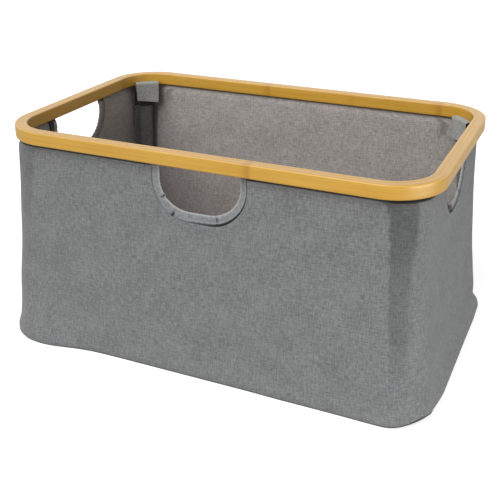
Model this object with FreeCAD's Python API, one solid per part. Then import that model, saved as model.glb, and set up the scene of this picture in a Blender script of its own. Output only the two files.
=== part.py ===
import FreeCAD, Part
import math
import os

# Collapsible open laundry basket: a bent bamboo rim, a cloth bag hung from a groove under the rim,
# a stiff base board, and four flat stays standing in sleeves in the corners.
# X runs along the long side, the front is -Y, Z is up, and the origin is the middle of the underside.
# All sizes are in millimetres.

# Rim: a rounded rectangle of bent bamboo, built from an outer, a core and an inner ply.
RIM_LENGTH = 560.0
RIM_WIDTH = 350.0
RIM_CORNER = 64.0
RIM_HEIGHT = 17.0
RIM_THICK = 15.5
RIM_EDGE = 1.2
HEIGHT = 292.0
OUTER_PLY = 7.25
GROOVE = 2.5
GROOVE_DEPTH = 10.0
HEM_THICK = 1.7

# Cloth bag: its walls hang from the groove and spread towards the base.
CLOTH = 1.2
FLARE = 20.0
BASE_CORNER = 60.0
BOTTOM_ROUND = 12.0
UNDER_TURN = 2.0
GAP = 0.3

# Hand holes: a U under the rim on the front and both ends, each edged by a narrower facing.
HOLE_WIDTH = 122.0
HOLE_ROUND = 52.0
FRONT_HOLE_SHIFT = 5.0
HOLE_BOTTOM = 207.0
FACING_SHOWS = 10.0
FACING_OVERLAP = 6.0

# Base: seam allowance, board and the cloth over the board.
SEAM_WIDTH = 4.0
SEAM_LOW = 1.3
SEAM_HIGH = 2.8
BOARD_INSET = 8.5
BOARD_LOW = 3.0
BOARD_THICK = 3.0
COVER_CLOTH = 0.8
COVER_GAP = 0.2

# Stays: flat slats that lean inwards from the board's corners to the rim's inner face.
STAY_WIDTH = 18.0
STAY_THICK = 4.0
STAY_FOOT_Z = 8.2
STAY_TOP_Z = 279.0
STAY_FOOT_R = 71.5
STAY_TOP_R = 42.4
CAP_WALL = 0.4
CAP_LENGTH = 14.0
STAY_EDGE = 1.0

# Sleeves: a channel round each stay on a wider back strip. Stay and sleeve turn together at the foot.
SLEEVE_CLOTH = 1.0
SLEEVE_ROOM = 0.8
SLEEVE_HALF = 17.0
SLEEVE_LOW_Z = 12.0
SLEEVE_TOP_Z = 266.0

# Tabs: a flap sewn below the rim that loops over the stay's top and closes on the sleeve's front.
TAB_CLOTH = 1.2
TAB_HALF_ANGLE = 28.0
TAB_BACK_R = 47.9
TAB_FRONT_R = 36.9
TAB_TOP_Z = 281.4
TAB_LOW_Z = 251.0
TAB_FOOT_R = 53.0
TAB_FOOT_Z = 273.0
PATCH_THICK = 0.8
PATCH_LOW_Z = 253.0
PATCH_HIGH_Z = 265.0
HOOK_LOW_Z = 243.0
PATCH_HALF = 8.5

# Staples that hold the hem in the groove, driven inwards into the inner ply.
STAPLE_WIDTH = 8.0
STAPLE_WIRE = 0.4
STAPLE_LEG = 5.0
STAPLES_LONG = 8
STAPLES_SHORT = 4
STAPLE_Z = 279.0

RIM_LOW = HEIGHT - RIM_HEIGHT
CLOTH_INSET = OUTER_PLY + GROOVE / 2 - CLOTH / 2
WALL_TOP = RIM_LOW - GAP
CORNER_X = RIM_LENGTH / 2 - RIM_CORNER
CORNER_Y = RIM_WIDTH / 2 - RIM_CORNER
CORNERS = {
    "front_left": (-1, -1),
    "front_right": (1, -1),
    "back_left": (-1, 1),
    "back_right": (1, 1),
}
FAR = 400.0
V = FreeCAD.Vector


def save(name, shape):
    """Writes one node to parts/name.step and prints its volume."""
    shape.exportStep("parts/" + name + ".step")
    print(name, len(shape.Solids), "solids", round(shape.Volume / 1000, 2), "cm3", shape.isValid())


def rounded_wire(half_x, half_y, radius, z):
    """A rounded rectangle in the plane at height z, as one closed wire."""
    edges = []
    for turn in range(4):
        angle = math.pi / 2 * turn
        cx = (half_x - radius) * (1 if turn in (0, 3) else -1)
        cy = (half_y - radius) * (1 if turn in (0, 1) else -1)
        points = []
        for step in (0, math.pi / 4, math.pi / 2):
            points.append(V(cx + radius * math.cos(angle + step), cy + radius * math.sin(angle + step), z))
        if edges:
            edges.append(Part.LineSegment(edges[-1].lastVertex().Point, points[0]).toShape())
        edges.append(Part.Arc(*points).toShape())
    edges.append(Part.LineSegment(edges[-1].lastVertex().Point, edges[0].firstVertex().Point).toShape())
    return Part.Wire(edges)


def slab(half_x, half_y, radius, low, high):
    """An upright solid on a rounded rectangle."""
    return Part.Face(rounded_wire(half_x, half_y, radius, low)).extrude(V(0, 0, high - low))


def rim_ring(outer_inset, inner_inset, low, high):
    """A ring between two insets from the rim's outer face."""
    outer = slab(RIM_LENGTH / 2 - outer_inset, RIM_WIDTH / 2 - outer_inset, RIM_CORNER - outer_inset, low, high)
    inner = slab(RIM_LENGTH / 2 - inner_inset, RIM_WIDTH / 2 - inner_inset, RIM_CORNER - inner_inset, low, high)
    return outer.cut(inner)


def bag(inset):
    """The solid whose surface lies inset from the bag's outer surface: tapered sides, rounded bottom edge."""
    top = CLOTH_INSET + inset
    spread = FLARE - top
    low_wire = rounded_wire(RIM_LENGTH / 2 + spread, RIM_WIDTH / 2 + spread, BASE_CORNER - inset, inset)
    high_wire = rounded_wire(RIM_LENGTH / 2 - top, RIM_WIDTH / 2 - top, RIM_CORNER - top, WALL_TOP)
    solid = Part.makeLoft([low_wire, high_wire], True, True)
    bottom = [e for e in solid.Edges if all(abs(v.Point.z - inset) < 0.01 for v in e.Vertexes)]
    return solid.makeFillet(BOTTOM_ROUND - inset, bottom)


def base_half(inset):
    """Half length, half width and corner radius at the base, inset from the bag's widest outline."""
    spread = FLARE - CLOTH_INSET - inset
    return RIM_LENGTH / 2 + spread, RIM_WIDTH / 2 + spread, BASE_CORNER - inset


def prism(points, low, high):
    """An upright solid on a polygon given as (x, y) points."""
    wire = Part.makePolygon([V(x, y, low) for x, y in points + points[:1]])
    return Part.Face(wire).extrude(V(0, 0, high - low))


def hand_hole(width, radius, bottom):
    """A U-shaped solid through a front wall, centred on X = 0, open above the wall's top."""
    half = width / 2
    top = WALL_TOP + 40.0
    diagonal = radius * math.sqrt(0.5)
    low = bottom + radius
    edges = [
        Part.LineSegment(V(-half, -FAR, top), V(-half, -FAR, low)).toShape(),
        Part.Arc(
            V(-half, -FAR, low),
            V(-half + radius - diagonal, -FAR, low - diagonal),
            V(-half + radius, -FAR, bottom),
        ).toShape(),
        Part.LineSegment(V(-half + radius, -FAR, bottom), V(half - radius, -FAR, bottom)).toShape(),
        Part.Arc(
            V(half - radius, -FAR, bottom),
            V(half - radius + diagonal, -FAR, low - diagonal),
            V(half, -FAR, low),
        ).toShape(),
        Part.LineSegment(V(half, -FAR, low), V(half, -FAR, top)).toShape(),
        Part.LineSegment(V(half, -FAR, top), V(-half, -FAR, top)).toShape(),
    ]
    return Part.Face(Part.Wire(edges)).extrude(V(0, FAR, 0))


def turned(shape, degrees):
    """A copy turned about the vertical axis."""
    copy = shape.copy()
    copy.rotate(V(0, 0, 0), V(0, 0, 1), degrees)
    return copy


def corner_frame(sx, sy, foot_r, z, lean):
    """Placement with X outwards, Y along the corner's tangent and Z up the leaning stay."""
    root = math.sqrt(0.5)
    out = V(sx * root, sy * root, 0)
    tangent = V(-sy * root, sx * root, 0)
    normal = out * math.cos(lean) + V(0, 0, math.sin(lean))
    along = V(0, 0, math.cos(lean)) - out * math.sin(lean)
    origin = V(sx * CORNER_X, sy * CORNER_Y, z) + out * foot_r
    matrix = FreeCAD.Matrix(
        normal.x, tangent.x, along.x, origin.x,
        normal.y, tangent.y, along.y, origin.y,
        normal.z, tangent.z, along.z, origin.z,
        0, 0, 0, 1,
    )
    return FreeCAD.Placement(matrix)


def placed(shape, placement):
    """A copy moved from the corner's own frame to the basket's."""
    return shape.transformed(placement.toMatrix())


def block(x0, x1, y0, y1, z0, z1):
    """A box between two corners."""
    return Part.makeBox(x1 - x0, y1 - y0, z1 - z0, V(x0, y0, z0))


def turned_profile(points, half_angle):
    """A profile of (radius, z) points swept about the corner's upright axis, centred on X."""
    wire = Part.makePolygon([V(r, 0, z) for r, z in points + points[:1]])
    solid = Part.Face(wire).revolve(V(0, 0, 0), V(0, 0, 1), 2 * half_angle)
    solid.rotate(V(0, 0, 0), V(0, 0, 1), -half_angle)
    return solid


def make_rim():
    """The three plies, the hem in the groove and its staples."""
    outer = rim_ring(0, OUTER_PLY, RIM_LOW, HEIGHT)
    rounded = [e for e in outer.Edges if on_outline(e, 0)]
    save("rim_outer_ply", outer.makeFillet(RIM_EDGE, rounded))
    save("rim_core_ply", rim_ring(OUTER_PLY, OUTER_PLY + GROOVE, RIM_LOW + GROOVE_DEPTH, HEIGHT))
    inner = rim_ring(OUTER_PLY + GROOVE, RIM_THICK, RIM_LOW, HEIGHT)
    rounded = [e for e in inner.Edges if on_outline(e, RIM_THICK)]
    save("rim_inner_ply", inner.makeFillet(RIM_EDGE, rounded))
    hem_inner = OUTER_PLY + GROOVE - GAP / 2
    save("hem_band", rim_ring(hem_inner - HEM_THICK, hem_inner, RIM_LOW, RIM_LOW + GROOVE_DEPTH - 1.0))
    save("hem_staples", make_staples(hem_inner - HEM_THICK))


def on_outline(edge, inset):
    """True for a horizontal edge that lies on the rim's outline at this inset."""
    low, high = edge.ParameterRange
    middle = edge.valueAt((low + high) / 2)
    if abs(edge.firstVertex().Point.z - edge.lastVertex().Point.z) > 0.01:
        return False
    dx = max(abs(middle.x) - CORNER_X, 0)
    dy = max(abs(middle.y) - CORNER_Y, 0)
    return abs(math.hypot(dx, dy) - (RIM_CORNER - inset)) < 0.05


def make_staples(hem_outer):
    """One staple, its crown on the hem and its legs inwards, repeated round the rim's straight sides."""
    crown = block(-STAPLE_WIDTH / 2, STAPLE_WIDTH / 2, hem_outer - STAPLE_WIRE, hem_outer, 0, STAPLE_WIRE)
    staple = crown
    for side in (-1, 1):
        x = side * (STAPLE_WIDTH - STAPLE_WIRE) / 2
        leg = block(x - STAPLE_WIRE / 2, x + STAPLE_WIRE / 2, hem_outer - STAPLE_WIRE,
                    hem_outer + STAPLE_LEG, 0, STAPLE_WIRE)
        staple = staple.fuse(leg)
    staple = staple.removeSplitter()
    solids = []
    for half, length, count, angle in (
        (RIM_WIDTH / 2, 2 * CORNER_X, STAPLES_LONG, 0),
        (RIM_WIDTH / 2, 2 * CORNER_X, STAPLES_LONG, 180),
        (RIM_LENGTH / 2, 2 * CORNER_Y, STAPLES_SHORT, 90),
        (RIM_LENGTH / 2, 2 * CORNER_Y, STAPLES_SHORT, 270),
    ):
        for i in range(count):
            one = staple.copy()
            one.translate(V(length * ((i + 0.5) / count - 0.5), -half, STAPLE_Z))
            solids.append(turned(one, angle))
    return Part.makeCompound(solids)


def wall_regions():
    """Upright prisms that part the bag into its four walls along the corner diagonals."""
    cx, cy = CORNER_X, CORNER_Y
    side = [(-cx, -cy), (-cx - FAR, -cy - FAR), (cx + FAR, -cy - FAR), (cx, -cy)]
    end = [(cx, -cy), (cx + FAR, -cy - FAR), (cx + FAR, cy + FAR), (cx, cy)]
    return {
        "front_wall": side,
        "back_wall": [(-x, -y) for x, y in side],
        "right_end_wall": end,
        "left_end_wall": [(-x, -y) for x, y in end],
    }


def make_bag():
    """The four walls, the bottom, the hand holes' facings and the base seam."""
    shell = bag(0).cut(bag(CLOTH))
    half_x, half_y, radius = base_half(BOTTOM_ROUND + UNDER_TURN)
    bottom = slab(half_x, half_y, radius, 0, CLOTH)
    save("bottom_cloth", bottom)
    shell = shell.cut(slab(half_x, half_y, radius, -1, CLOTH + 1))
    facing_shell = bag(CLOTH + GAP).cut(bag(2 * CLOTH + GAP))
    for name, points in wall_regions().items():
        wall = shell.common(prism(points, -1, HEIGHT))
        if name != "back_wall":
            cutter, ring = hole_tools(name)
            save(name.replace("wall", "hole_facing"), facing_shell.common(ring))
            wall = wall.cut(cutter)
        save(name, wall)
    outer = slab(half_x + SEAM_WIDTH / 2, half_y + SEAM_WIDTH / 2, radius + SEAM_WIDTH / 2, SEAM_LOW, SEAM_HIGH)
    inner = slab(half_x - SEAM_WIDTH / 2, half_y - SEAM_WIDTH / 2, radius - SEAM_WIDTH / 2, SEAM_LOW, SEAM_HIGH)
    save("base_seam", outer.cut(inner))


def hole_tools(name):
    """The cutter for a wall's hand hole, and the U band in which its facing lies."""
    front = name == "front_wall"
    shift = FRONT_HOLE_SHIFT if front else 0
    angle = {"front_wall": 0, "right_end_wall": 90, "left_end_wall": -90}[name]
    outward = FACING_OVERLAP
    inward = -FACING_SHOWS
    shapes = []
    for grow in (0, outward, inward):
        shape = hand_hole(HOLE_WIDTH + 2 * grow, HOLE_ROUND + grow, HOLE_BOTTOM - grow)
        shape.translate(V(shift, 0, 0))
        shapes.append(turned(shape, angle))
    return shapes[0], shapes[1].cut(shapes[2])


def make_base():
    """The stiff board and the cloth stretched over its top and edges."""
    half_x, half_y, radius = base_half(BOARD_INSET)
    board_top = BOARD_LOW + BOARD_THICK
    save("base_board", slab(half_x, half_y, radius, BOARD_LOW, board_top))
    grow = COVER_GAP + COVER_CLOTH
    cover_low = BOARD_LOW + COVER_GAP
    outer = slab(half_x + grow, half_y + grow, radius + grow, cover_low, board_top + grow)
    hollow = slab(half_x + COVER_GAP, half_y + COVER_GAP, radius + COVER_GAP, cover_low, board_top + COVER_GAP)
    save("board_cover", outer.cut(hollow))


def make_corner(corner, sx, sy):
    """A stay with its end caps, its sleeve, the hook patch, and the tab with its loop patch."""
    rise = STAY_TOP_Z - STAY_FOOT_Z
    lean = math.atan2(STAY_FOOT_R - STAY_TOP_R, rise)
    stay_length = rise / math.cos(lean)
    frame = corner_frame(sx, sy, STAY_FOOT_R, STAY_FOOT_Z, lean)
    half_t = STAY_THICK / 2
    half_w = STAY_WIDTH / 2
    stay = block(-half_t, half_t, -half_w, half_w, CAP_WALL, stay_length - CAP_WALL)
    long_edges = [e for e in stay.Edges if e.Length > stay_length / 2]
    stay = stay.makeFillet(STAY_EDGE, long_edges)
    save(corner + "_stay", placed(stay, frame))

    caps = []
    for low, high in ((0, CAP_LENGTH), (stay_length - CAP_LENGTH, stay_length)):
        cap = block(-half_t - CAP_WALL, half_t + CAP_WALL, -half_w - CAP_WALL, half_w + CAP_WALL, low, high)
        caps.append(cap.cut(stay))
    save(corner + "_stay_caps", placed(Part.makeCompound(caps), frame))

    room_t = half_t + SLEEVE_ROOM
    room_w = half_w + SLEEVE_ROOM
    outer_t = room_t + SLEEVE_CLOTH
    outer_w = room_w + SLEEVE_CLOTH
    sleeve_low = (SLEEVE_LOW_Z - STAY_FOOT_Z) / math.cos(lean)
    sleeve_high = (SLEEVE_TOP_Z - STAY_FOOT_Z) / math.cos(lean)
    channel = block(-outer_t, outer_t, -outer_w, outer_w, sleeve_low, sleeve_high)
    back_strip = block(room_t, outer_t, -SLEEVE_HALF, SLEEVE_HALF, sleeve_low, sleeve_high)
    room = block(-room_t, room_t, -room_w, room_w, 0, stay_length)
    sleeve = channel.fuse(back_strip).cut(room).removeSplitter()
    save(corner + "_sleeve", placed(sleeve, frame))

    hook_low = (HOOK_LOW_Z - STAY_FOOT_Z) / math.cos(lean)
    hook = block(-outer_t - PATCH_THICK, -outer_t, -PATCH_HALF, PATCH_HALF, hook_low, sleeve_high)
    save(corner + "_hook_patch", placed(hook, frame))

    upright = corner_frame(sx, sy, 0, 0, 0)
    back_in = TAB_BACK_R - TAB_CLOTH
    front_in = TAB_FRONT_R + TAB_CLOTH
    profile = [
        (TAB_FRONT_R, TAB_LOW_Z),
        (TAB_FRONT_R, TAB_TOP_Z),
        (TAB_BACK_R, TAB_TOP_Z),
        (TAB_BACK_R, TAB_FOOT_Z + TAB_CLOTH),
        (TAB_FOOT_R, TAB_FOOT_Z + TAB_CLOTH),
        (TAB_FOOT_R, TAB_FOOT_Z),
        (back_in, TAB_FOOT_Z),
        (back_in, TAB_TOP_Z - TAB_CLOTH),
        (front_in, TAB_TOP_Z - TAB_CLOTH),
        (front_in, TAB_LOW_Z),
    ]
    save(corner + "_tab", placed(turned_profile(profile, TAB_HALF_ANGLE), upright))
    loop_profile = [
        (front_in, PATCH_LOW_Z),
        (front_in, PATCH_HIGH_Z),
        (front_in + PATCH_THICK, PATCH_HIGH_Z),
        (front_in + PATCH_THICK, PATCH_LOW_Z),
    ]
    loop_angle = math.degrees(PATCH_HALF / front_in)
    save(corner + "_loop_patch", placed(turned_profile(loop_profile, loop_angle), upright))


os.makedirs("parts", exist_ok=True)
make_rim()
make_bag()
make_base()
for corner_name, (sign_x, sign_y) in CORNERS.items():
    make_corner(corner_name, sign_x, sign_y)
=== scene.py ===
import math
import random

import bpy
import numpy as np
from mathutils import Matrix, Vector
from mathutils.geometry import delaunay_2d_cdt


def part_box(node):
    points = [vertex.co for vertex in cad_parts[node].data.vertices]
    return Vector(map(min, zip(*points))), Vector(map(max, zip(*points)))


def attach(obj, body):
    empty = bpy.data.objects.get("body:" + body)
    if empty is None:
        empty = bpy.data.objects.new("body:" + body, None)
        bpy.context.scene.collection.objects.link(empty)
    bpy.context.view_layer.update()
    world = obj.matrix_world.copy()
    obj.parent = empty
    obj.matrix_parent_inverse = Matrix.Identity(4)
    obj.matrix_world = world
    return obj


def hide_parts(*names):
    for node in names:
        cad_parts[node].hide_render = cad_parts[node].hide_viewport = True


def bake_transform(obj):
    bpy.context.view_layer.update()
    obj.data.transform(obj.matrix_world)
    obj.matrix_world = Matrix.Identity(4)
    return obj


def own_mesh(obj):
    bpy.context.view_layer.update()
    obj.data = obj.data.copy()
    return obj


# The looks of a collapsible laundry basket: bamboo rim, linen-look cloth bag, corner sleeves and tabs.
# All lengths are in metres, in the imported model's own frame. The front is -Y and the long side runs along X.

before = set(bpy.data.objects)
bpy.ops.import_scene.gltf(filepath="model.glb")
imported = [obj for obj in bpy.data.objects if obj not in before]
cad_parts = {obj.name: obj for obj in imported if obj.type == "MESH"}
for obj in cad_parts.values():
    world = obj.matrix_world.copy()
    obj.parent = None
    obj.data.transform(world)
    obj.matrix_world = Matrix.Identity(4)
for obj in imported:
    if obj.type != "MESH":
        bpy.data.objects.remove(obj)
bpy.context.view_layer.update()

# ---------------------------------------------------------------- sizes from the frame
rim_low, rim_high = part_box("rim_outer_ply")
RIM_X = rim_high.x
RIM_Y = rim_high.y
RIM_TOP = rim_high.z
RIM_UNDER = rim_low.z
CORE_INSET = RIM_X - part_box("rim_core_ply")[1].x
INNER_INSET = RIM_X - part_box("rim_inner_ply")[1].x
RIM_CORNER = 0.064
RIM_THICK = 0.0155
GROOVE_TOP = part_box("rim_core_ply")[0].z
CORNER_X = RIM_X - RIM_CORNER
CORNER_Y = RIM_Y - RIM_CORNER
CORNERS = {
    "front_left": (-1, -1),
    "front_right": (1, -1),
    "back_left": (-1, 1),
    "back_right": (1, 1),
}

# ---------------------------------------------------------------- cloth walls
CLOTH = 0.0012
WALL_INSET = 0.0114
WALL_SPREAD = 0.0238
WALL_SAG = 0.0040
GROOVE_INSET = CORE_INSET + 0.0006
TURN = 0.009
TURN_ARC = TURN * math.pi / 2
TURN_UNDER = 0.008
WALL_TOP = RIM_UNDER + 0.0002
CORNER_RADIUS_TOP = 0.031
CORNER_RADIUS_BASE = 0.051
GRID = 0.0042

# The wall's outline is unrolled into one strip, from the back left corner anticlockwise seen from above.
STRIP_ARC = 0.075
STRIP_LONG = 0.464
STRIP_SHORT = 0.254
SEGMENTS = (
    ("arc", STRIP_ARC / 2, 135, 180, -1, 1),
    ("left", STRIP_SHORT, 180, 180, -1, 0),
    ("arc", STRIP_ARC, 180, 270, -1, -1),
    ("front", STRIP_LONG, 270, 270, 0, -1),
    ("arc", STRIP_ARC, 270, 360, 1, -1),
    ("right", STRIP_SHORT, 360, 360, 1, 0),
    ("arc", STRIP_ARC, 0, 90, 1, 1),
    ("back", STRIP_LONG, 90, 90, 0, 1),
    ("arc", STRIP_ARC / 2, 90, 135, -1, 1),
)
STRIP_STARTS = np.concatenate([[0.0], np.cumsum([segment[1] for segment in SEGMENTS])])
STRIP = STRIP_STARTS[-1]
STRIP_MIDDLE = {
    segment[0]: STRIP_STARTS[i] + segment[1] / 2 for i, segment in enumerate(SEGMENTS) if segment[0] != "arc"
}
STRIP_CORNERS = {
    "back_left": 0.0,
    "front_left": STRIP_STARTS[2] + STRIP_ARC / 2,
    "front_right": STRIP_STARTS[4] + STRIP_ARC / 2,
    "back_right": STRIP_STARTS[6] + STRIP_ARC / 2,
}

# ---------------------------------------------------------------- hand holes
HOLES = {
    "front": {"shift": 0.0032, "half": 0.0630, "radius": 0.050, "bottom": 0.2045},
    "left": {"shift": 0.011, "half": 0.061, "radius": 0.052, "bottom": 0.209},
    "right": {"shift": -0.002, "half": 0.059, "radius": 0.052, "bottom": 0.209},
}
FACING_BEHIND = 0.006


def smooth(x):
    """Eases from 0 to 1 as x goes from 0 to 1."""
    x = np.clip(x, 0.0, 1.0)
    return x * x * (3 - 2 * x)


def bump(x, centre, width):
    """A bell of height 1 at centre."""
    return np.exp(-(((x - centre) / width) ** 2))


def strip_distance(s, centre):
    """Signed distance along the closed strip."""
    return (s - centre + STRIP / 2) % STRIP - STRIP / 2


# ================================================================ meshes
def add_mesh(name, points, faces, uvs, materials, face_material=None, sharp_degrees=None):
    """A smooth-shaded object from points, faces and one UV for each face corner."""
    mesh = bpy.data.meshes.new(name)
    mesh.from_pydata(np.asarray(points, float).tolist(), [], [list(map(int, f)) for f in faces])
    layer = mesh.uv_layers.new(name="UVMap")
    layer.data.foreach_set("uv", np.asarray(uvs, np.float32).ravel())
    for material in materials:
        mesh.materials.append(material)
    if face_material is not None:
        mesh.polygons.foreach_set("material_index", np.asarray(face_material, np.int32))
    mesh.polygons.foreach_set("use_smooth", np.ones(len(mesh.polygons), bool))
    mesh.validate()
    if sharp_degrees:
        mesh.set_sharp_from_angle(angle=math.radians(sharp_degrees))
    piece = bpy.data.objects.new(name, mesh)
    bpy.context.scene.collection.objects.link(piece)
    return piece


def add_attribute(piece, name, values):
    """One number for each point, read by the materials."""
    attribute = piece.data.attributes.new(name, "FLOAT", "POINT")
    attribute.data.foreach_set("value", np.asarray(values, np.float32))


def grid_faces(along, across, close_along, close_across):
    """Corner indices of a grid's quads, as steps along and across."""
    i, j = np.meshgrid(
        np.arange(along if close_along else along - 1),
        np.arange(across if close_across else across - 1),
        indexing="ij",
    )
    i = i.ravel()
    j = j.ravel()
    return np.stack([i, i + 1, i + 1, i], 1), np.stack([j, j, j + 1, j + 1], 1)


def grid_mesh(
    name, rows, u, v, materials, close_along=False, close_across=False, caps=False, sharp_degrees=None
):
    """A sheet or tube from rows of points. u and v are the UVs of the rows and of the points in a row."""
    along, across = rows.shape[:2]
    i, j = grid_faces(along, across, close_along, close_across)
    faces = [list(f) for f in (i % along) * across + (j % across)]
    uvs = [list(pair) for pair in np.stack([np.asarray(u)[i], np.asarray(v)[j]], -1).reshape(-1, 2)]
    if caps:
        faces.append(list(range(across))[::-1])
        faces.append(list(range((along - 1) * across, along * across)))
        for end in (0, along - 1):
            uvs += [[u[end], v[k]] for k in range(across)]
    return add_mesh(name, rows.reshape(-1, 3), faces, uvs, materials, sharp_degrees=sharp_degrees)


def rounded_rectangle(half_x, half_y, radius, step):
    """Points, outward normals and running lengths of a closed outline that starts at the back left corner."""
    points = []
    normals = []
    cx = half_x - radius
    cy = half_y - radius
    turns = (
        (-cx, cy, 135, 180),
        (-cx, -cy, 180, 270),
        (cx, -cy, 270, 360),
        (cx, cy, 0, 90),
        (-cx, cy, 90, 135),
    )
    for k, (x, y, first, last) in enumerate(turns):
        count = max(3, int(radius * math.radians(last - first) / step))
        for degrees in np.linspace(first, last, count, endpoint=k < len(turns) - 1):
            angle = math.radians(degrees)
            normals.append((math.cos(angle), math.sin(angle)))
            points.append((x + radius * math.cos(angle), y + radius * math.sin(angle)))
        if k < len(turns) - 1:
            next_x, next_y, next_first = turns[k + 1][:3]
            angle = math.radians(next_first)
            target = np.array((next_x + radius * math.cos(angle), next_y + radius * math.sin(angle)))
            start = np.array(points[-1])
            count = int(np.linalg.norm(target - start) / (step * 2))
            for share in np.arange(1, count) / count:
                points.append(tuple(start + (target - start) * share))
                normals.append(normals[-1])
    points = np.array(points)
    lengths = np.linalg.norm(np.roll(points, -1, 0) - points, axis=1)
    return points, np.array(normals), np.concatenate([[0.0], np.cumsum(lengths)])


# ================================================================ the wall's surface
def wall_profile(z):
    """Half length, half width and corner radius of the cloth's outer surface at a height."""
    share = np.clip(z / RIM_UNDER, 0.0, 1.0)
    spread = WALL_SPREAD * (1 - share) - WALL_SAG * 4 * share * (1 - share)
    to_groove = smooth((z - 0.264) / (RIM_UNDER - 0.264))
    inset = (WALL_INSET - spread) * (1 - to_groove) + GROOVE_INSET * to_groove
    radius = CORNER_RADIUS_TOP + (CORNER_RADIUS_BASE - CORNER_RADIUS_TOP) * smooth(1.05 - share)
    radius = radius * (1 - to_groove) + (RIM_CORNER - GROOVE_INSET) * to_groove
    return RIM_X - inset, RIM_Y - inset, radius


def wall_height(v):
    """Height and outward offset of the rounded bottom edge at a distance v up the cloth."""
    turn = np.clip(v / TURN, 0.0, math.pi / 2)
    z = TURN * (1 - np.cos(turn)) + np.maximum(v - TURN_ARC, 0.0)
    return z, -TURN * (1 - np.sin(turn)) + np.minimum(v, 0.0)


def hole_distance(s, z, wall):
    """Distance outside a hand hole's edge, negative in the hole, and the position across from its middle."""
    hole = HOLES[wall]
    half_x, half_y, radius = wall_profile(z)
    half = half_x if wall == "front" else half_y
    length = STRIP_LONG if wall == "front" else STRIP_SHORT
    across = strip_distance(s, STRIP_MIDDLE[wall]) / (length / 2) * (half - radius) - hole["shift"]
    low = hole["bottom"] + hole["radius"]
    flat = hole["half"] - hole["radius"]
    dx = np.maximum(np.abs(across) - flat, 0.0)
    dz = np.maximum(low - z, 0.0)
    return np.hypot(dx, dz) - hole["radius"], across


WAVES = [(random.Random(11 + k).uniform(0, 6.28), random.Random(31 + k).uniform(0, 6.28)) for k in range(10)]


def undulation(s, z):
    """Slow, shallow waves of the cloth, the same at both ends of the strip."""
    total = np.zeros_like(s)
    for k, (phase, tilt) in enumerate(WAVES):
        turns = 3 + 2 * k
        wander = 3.0 * np.sin(z * (9 + 2 * k) + tilt)
        total += np.sin(2 * math.pi * turns * s / STRIP + phase + wander) / (1 + 0.35 * k)
    return total


# Each tension fold beside a tab: its side of the corner, how fast it moves away as it runs down, where it
# starts and how far down it reaches.
CREASES = ((1, 0.75, -0.012, 0.044), (-1, 0.25, 0.054, 0.036), (1, 0.55, 0.002, 0.026))
CREASE_TOP = 0.274
CREASE_DEPTH = 0.0040
CREASE_WIDTH = 0.0030


def creases(s, z):
    """Tension folds that run down and away from both sides of each tab, slighter at the front."""
    total = np.zeros_like(s)
    for name, centre in STRIP_CORNERS.items():
        distance = strip_distance(s, centre)
        pull = 1.0 if name.startswith("back") else 0.25
        mirrored = 1 if name in ("back_left", "front_right") else -1
        distance = mirrored * distance
        for side, slope, start, reach in CREASES:
            drop = CREASE_TOP - z
            along = drop / reach
            line = side * (start + slope * drop)
            depth = smooth(along * 4) * (1 - smooth(along))
            total += pull * depth * bump(distance, line, CREASE_WIDTH + 0.05 * np.maximum(drop, 0))
    return total


CORNER_REACH = 0.060
WAVE_DEPTH = 0.00040
PULLED_IN = 0.0040
RIGHT_END_OUT = 0.0034
FRONT_RIGHT_OUT = 0.0022
BASE_ROLL = 0.0006
CORNER_ROLL = 0.0020
BACK_RIGHT_WAIST = 0.0045
FRONT_LEFT_WAIST = 0.0036
PLEAT_DEPTH = 0.0011
EDGE_LIFT = 0.0008
FRONT_EDGE_LIFT = 0.0022
STITCH_RIDGE = 0.0005


def wall_offset(s, z):
    """How far the cloth stands out from its plain profile."""
    corner = np.zeros_like(s)
    for centre in STRIP_CORNERS.values():
        corner += bump(strip_distance(s, centre), 0.0, CORNER_REACH)
    corner = np.clip(corner, 0, 1)
    from_right = strip_distance(s, STRIP_MIDDLE["right"])
    from_front = strip_distance(s, STRIP_MIDDLE["front"])
    from_back_right = strip_distance(s, STRIP_CORNERS["back_right"])
    from_front_left = strip_distance(s, STRIP_CORNERS["front_left"])
    right = smooth((from_right + 0.140) / 0.06) * smooth((0.150 - from_right) / 0.06)
    hanging = smooth(z / 0.03) * smooth((RIM_UNDER - z) / 0.03)
    out = WAVE_DEPTH * undulation(s, z) * hanging
    # The walls are pulled in near the base between the corners, except on the right end.
    out -= PULLED_IN * (1 - right) * (1 - corner) * smooth(1 - z / 0.10)
    out += RIGHT_END_OUT * right * smooth(1 - z / 0.045)
    out += FRONT_RIGHT_OUT * smooth((from_front - 0.06) / 0.06) * (1 - right) * smooth(1 - z / 0.06)
    # The board pushes out a roll round the base, and the cloth is pulled in again at two corners.
    out += (BASE_ROLL + CORNER_ROLL * corner) * bump(z, 0.007, 0.009)
    out -= BACK_RIGHT_WAIST * bump(from_back_right, 0.0, 0.050) * bump(z, 0.022, 0.013)
    out -= FRONT_LEFT_WAIST * bump(from_front_left, -0.004, 0.028) * smooth(1 - z / 0.09)
    pleat = bump(z, 0.024, 0.005) - 0.8 * bump(z, 0.014, 0.005)
    out += PLEAT_DEPTH * bump(strip_distance(s, STRIP_STARTS[3] + 0.055), 0.0, 0.035) * pleat
    out -= CREASE_DEPTH * creases(s, z)
    for wall in HOLES:
        distance, across = hole_distance(s, z, wall)
        edge = bump(distance, 0.0, 0.012) * smooth((RIM_UNDER - z) / 0.012)
        lifted = FRONT_EDGE_LIFT * smooth((across - 0.01) / 0.03) if wall == "front" else EDGE_LIFT
        out += edge * lifted
        out += STITCH_RIDGE * bump(distance, 0.0022, 0.0016) * smooth((RIM_UNDER - z) / 0.01)
    return out


BASE_PUFF = 0.0110
BASE_ROUNDING = 0.0075


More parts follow.
